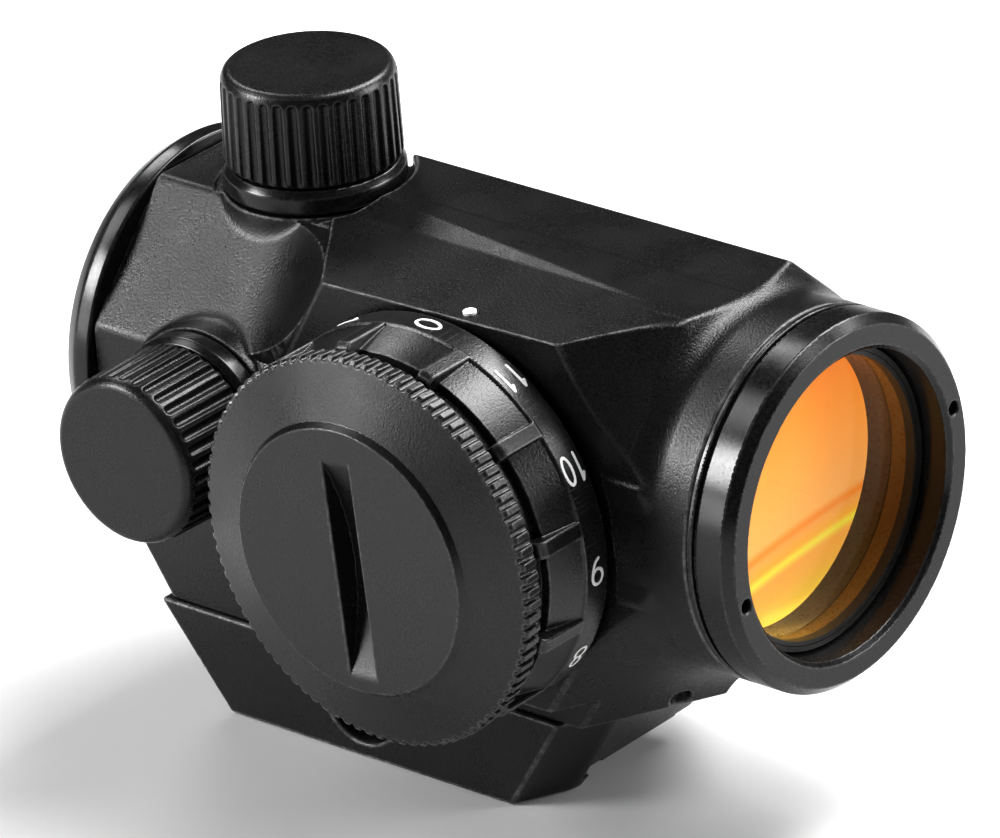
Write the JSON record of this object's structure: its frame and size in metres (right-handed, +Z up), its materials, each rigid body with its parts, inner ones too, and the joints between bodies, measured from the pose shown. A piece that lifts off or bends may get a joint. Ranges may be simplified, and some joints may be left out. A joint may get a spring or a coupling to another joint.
{
  "type": "red dot finder",
  "caption": "Compact tube red dot sight with amber lens, side brightness dial with battery cap, elevation and windage turrets, and dovetail rail clamp.",
  "frame": {"origin": "middle of the rail seat, on the face that rests on the rail", "axes": "+Y along the optical axis towards the target, +Z up, +X to the viewer's right (dial side)"},
  "size_m": [0.0393, 0.062, 0.0491],
  "materials": {
    "black_anodised": "bead-blasted, matte black anodised aluminium",
    "black_gloss": "turned, satin black anodised aluminium",
    "black_knob": "turned, satin black anodised aluminium",
    "black_dial": "turned, satin black anodised aluminium",
    "black_bore": "matte black",
    "black_steel": "blackened steel",
    "black_plastic": "matte",
    "board_green": "printed circuit board",
    "rubber": "matte",
    "clear_glass": "polished, coated",
    "amber_glass": "polished, amber mirror coating",
    "white_paint": "white fill paint",
    "red_lamp": "clear red",
    "spring_steel": "bright",
    "gold_contact": "plated",
    "brass": "turned"
  },
  "bodies": {
    "sight_body": {"main_housing": "black_anodised", "grub_screw": "black_steel", "index_mark": "white_paint", "objective_bezel": "black_gloss", "bezel_seal": "rubber", "ocular_ring": "black_gloss", "rear_window": "clear_glass", "window_retainer": "black_anodised", "pivot_seat_ring": "brass", "tube_return_spring": "spring_steel", "elevation_base": "black_gloss", "elevation_click_ring": "spring_steel", "windage_base": "black_gloss", "windage_click_ring": "spring_steel", "switch_base": "black_plastic", "switch_board": "board_green", "detent_ball": "spring_steel", "detent_spring": "spring_steel", "rail_base": "black_anodised", "base_screws": "black_steel", "clamp_nut": "black_steel", "jaw_guide_pins": "spring_steel"},
    "dial": {"brightness_dial": "black_dial", "dial_number_marks": "white_paint", "dial_wiper": "gold_contact", "dial_screw": "black_steel", "battery_spring": "spring_steel", "battery": "spring_steel"},
    "battery_cap_thread": {"cap_seal": "rubber"},
    "battery_cap_body": {"battery_cap": "black_dial", "cover_contact": "spring_steel"},
    "elevation_cap_thread": {"elevation_seal": "rubber"},
    "elevation_cap_body": {"elevation_cap": "black_knob"},
    "windage_cap_thread": {"windage_seal": "rubber"},
    "windage_cap_body": {"windage_cap": "black_knob"},
    "elevation_tip": {"elevation_plunger": "spring_steel"},
    "elevation_adjuster": {"elevation_screw": "brass"},
    "windage_tip": {"windage_plunger": "spring_steel"},
    "windage_adjuster": {"windage_screw": "brass"},
    "tube_pitch_ring": {"gimbal_ring": "brass"},
    "tube": {"inner_tube": "black_bore", "objective_lens_front": "clear_glass", "objective_lens_rear": "amber_glass", "lens_retainer": "black_bore", "lamp_holder": "black_plastic", "lamp": "red_lamp"},
    "jaw": {"clamp_jaw": "black_anodised"},
    "jaw_screw": {"clamp_screw": "black_steel"}
  },
  "joints": [
    {"name": "dial_turn", "type": "hinge", "parent": "sight_body", "child": "dial", "pos_m": [0.0139, 0.0128, 0.02345], "axis": [-1, 0, 0], "range_deg": [0, 330]},
    {"name": "battery_cap_rise", "type": "slide", "parent": "dial", "child": "battery_cap_thread", "axis": [1, 0, 0], "range_m": [0, 0.0025]},
    {"name": "battery_cap_turn", "type": "hinge", "parent": "battery_cap_thread", "child": "battery_cap_body", "pos_m": [0.0211, 0.0128, 0.02345], "axis": [1, 0, 0], "range_deg": [0, 1800.5]},
    {"name": "elevation_cap_rise", "type": "slide", "parent": "sight_body", "child": "elevation_cap_thread", "axis": [0, 0, 1], "range_m": [0, 0.003]},
    {"name": "elevation_cap_turn", "type": "hinge", "parent": "elevation_cap_thread", "child": "elevation_cap_body", "pos_m": [0, -0.0101, 0.04005], "axis": [0, 0, 1], "range_deg": [0, 2160.5]},
    {"name": "windage_cap_rise", "type": "slide", "parent": "sight_body", "child": "windage_cap_thread", "axis": [1, 0, 0], "range_m": [0, 0.003]},
    {"name": "windage_cap_turn", "type": "hinge", "parent": "windage_cap_thread", "child": "windage_cap_body", "pos_m": [0.01565, -0.0101, 0.0244], "axis": [1, 0, 0], "range_deg": [0, 2160.5]},
    {"name": "elevation_tip_travel", "type": "slide", "parent": "sight_body", "child": "elevation_tip", "axis": [0, 0, -1], "range_m": [-0.00045, 0.00045]},
    {"name": "elevation_adjust", "type": "hinge", "parent": "elevation_tip", "child": "elevation_adjuster", "pos_m": [0, -0.0101, 0.0407], "axis": [0, 0, -1], "range_deg": [-324.5, 324.5]},
    {"name": "windage_tip_travel", "type": "slide", "parent": "sight_body", "child": "windage_tip", "axis": [-1, 0, 0], "range_m": [-0.00045, 0.00045]},
    {"name": "windage_adjust", "type": "hinge", "parent": "windage_tip", "child": "windage_adjuster", "pos_m": [0.0163, -0.0101, 0.0244], "axis": [-1, 0, 0], "range_deg": [-324.5, 324.5]},
    {"name": "tube_pitch", "type": "hinge", "parent": "sight_body", "child": "tube_pitch_ring", "pos_m": [0, 0.0275, 0.0244], "axis": [1, 0, 0], "range_deg": [-0.7, 0.7]},
    {"name": "tube_yaw", "type": "hinge", "parent": "tube_pitch_ring", "child": "tube", "pos_m": [0, 0.0275, 0.0244], "axis": [0, 0, -1], "range_deg": [-0.7, 0.7]},
    {"name": "jaw_travel", "type": "slide", "parent": "sight_body", "child": "jaw", "axis": [-1, 0, 0], "range_m": [0, 0.0016]},
    {"name": "clamp_screw_turn", "type": "hinge", "parent": "jaw", "child": "jaw_screw", "pos_m": [-0.0103, 0, 0.0027], "axis": [-1, 0, 0], "range_deg": [0, 1152.5]}
  ],
  "couplings": [
    {"joint": "battery_cap_turn", "follows": "battery_cap_rise", "rad_per_m": 12566},
    {"joint": "elevation_cap_turn", "follows": "elevation_cap_rise", "rad_per_m": 12566},
    {"joint": "windage_cap_turn", "follows": "windage_cap_rise", "rad_per_m": 12566},
    {"joint": "elevation_adjust", "follows": "elevation_tip_travel", "rad_per_m": 12566},
    {"joint": "tube_pitch", "follows": "elevation_tip_travel", "rad_per_m": 26.596},
    {"joint": "windage_adjust", "follows": "windage_tip_travel", "rad_per_m": 12566},
    {"joint": "tube_yaw", "follows": "windage_tip_travel", "rad_per_m": 26.596},
    {"joint": "clamp_screw_turn", "follows": "jaw_travel", "rad_per_m": 12566}
  ]
}
